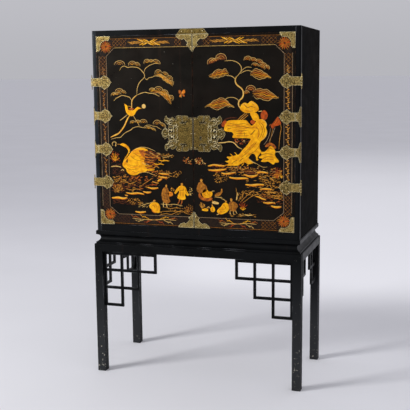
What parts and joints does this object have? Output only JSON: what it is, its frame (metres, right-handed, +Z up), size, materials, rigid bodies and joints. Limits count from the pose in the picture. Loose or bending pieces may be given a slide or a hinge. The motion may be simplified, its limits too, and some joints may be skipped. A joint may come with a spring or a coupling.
{
  "type": "cabinet on stand",
  "caption": "Black lacquered cabinet with hinged doors, pierced brass lock plate, shelves, locking bolts and a straight-legged stand with stepped fret brackets.",
  "frame": {"origin": "on the floor, under the middle of the stand", "axes": "+Z up, +X to the viewer's right along the front, doors face -Y"},
  "size_m": [0.984, 0.474, 1.6],
  "materials": {
    "black_lacquer": "worn gloss black lacquer over wood",
    "inside_lacquer": "dull red-brown lacquer over wood",
    "plain_wood": "dark stained, matt",
    "engraved_brass": "pale, engraved, tarnished in the cuts",
    "dark_iron": "filed and blackened"
  },
  "bodies": {
    "cabinet_on_stand": {"front_left_leg": "black_lacquer", "front_right_leg": "black_lacquer", "back_left_leg": "black_lacquer", "back_right_leg": "black_lacquer", "front_rail": "black_lacquer", "back_rail": "plain_wood", "left_rail": "black_lacquer", "right_rail": "black_lacquer", "front_left_fret": "black_lacquer", "front_right_fret": "black_lacquer", "left_front_fret": "black_lacquer", "left_back_fret": "black_lacquer", "right_front_fret": "black_lacquer", "right_back_fret": "black_lacquer", "plinth_front": "black_lacquer", "plinth_back": "plain_wood", "plinth_left": "black_lacquer", "plinth_right": "black_lacquer", "front_bead": "black_lacquer", "left_bead": "black_lacquer", "right_bead": "black_lacquer", "left_side": "black_lacquer", "right_side": "black_lacquer", "top_board": "black_lacquer", "bottom_board": "inside_lacquer", "back_boards": "plain_wood", "left_stile": "black_lacquer", "right_stile": "black_lacquer", "top_rail": "black_lacquer", "bottom_rail": "black_lacquer", "upper_shelf": "inside_lacquer", "lower_shelf": "inside_lacquer", "shelf_battens": "plain_wood", "door_stop": "inside_lacquer", "rail_mount": "engraved_brass", "hinge_leaves": "engraved_brass", "hinge_pins": "engraved_brass", "sham_corner_plates": "engraved_brass", "case_nails": "engraved_brass", "bolt_keepers": "engraved_brass"},
    "left_door": {"left_door_panel": "black_lacquer", "left_hinge_straps": "engraved_brass", "left_sham_plates": "engraved_brass", "left_edge_mounts": "engraved_brass", "left_lock_plate": "engraved_brass", "left_nails": "engraved_brass", "lock_keep": "dark_iron", "bolt_plates": "dark_iron"},
    "right_door": {"right_door_panel": "black_lacquer", "right_hinge_straps": "engraved_brass", "right_sham_plates": "engraved_brass", "right_edge_mounts": "engraved_brass", "right_lock_plate": "engraved_brass", "right_nails": "engraved_brass", "lock_case": "dark_iron"},
    "upper_bolt": {"upper_bolt": "dark_iron"},
    "lower_bolt": {"lower_bolt": "dark_iron"},
    "lock_bolt": {"lock_bolt": "dark_iron"}
  },
  "joints": [
    {"name": "left_door_hinge", "type": "hinge", "parent": "cabinet_on_stand", "child": "left_door", "pos_m": [-0.485, -0.2245, 1.1415], "axis": [0, 0, -1], "range_deg": [0, 230]},
    {"name": "right_door_hinge", "type": "hinge", "parent": "cabinet_on_stand", "child": "right_door", "pos_m": [0.485, -0.2245, 1.1415], "axis": [0, 0, 1], "range_deg": [0, 230]},
    {"name": "upper_bolt_slide", "type": "slide", "parent": "left_door", "child": "upper_bolt", "axis": [0, 0, 1], "range_m": [0, 0.013]},
    {"name": "lower_bolt_slide", "type": "slide", "parent": "left_door", "child": "lower_bolt", "axis": [0, 0, -1], "range_m": [0, 0.013]},
    {"name": "lock_bolt_slide", "type": "slide", "parent": "right_door", "child": "lock_bolt", "axis": [-1, 0, 0], "range_m": [0, 0.014]}
  ]
}
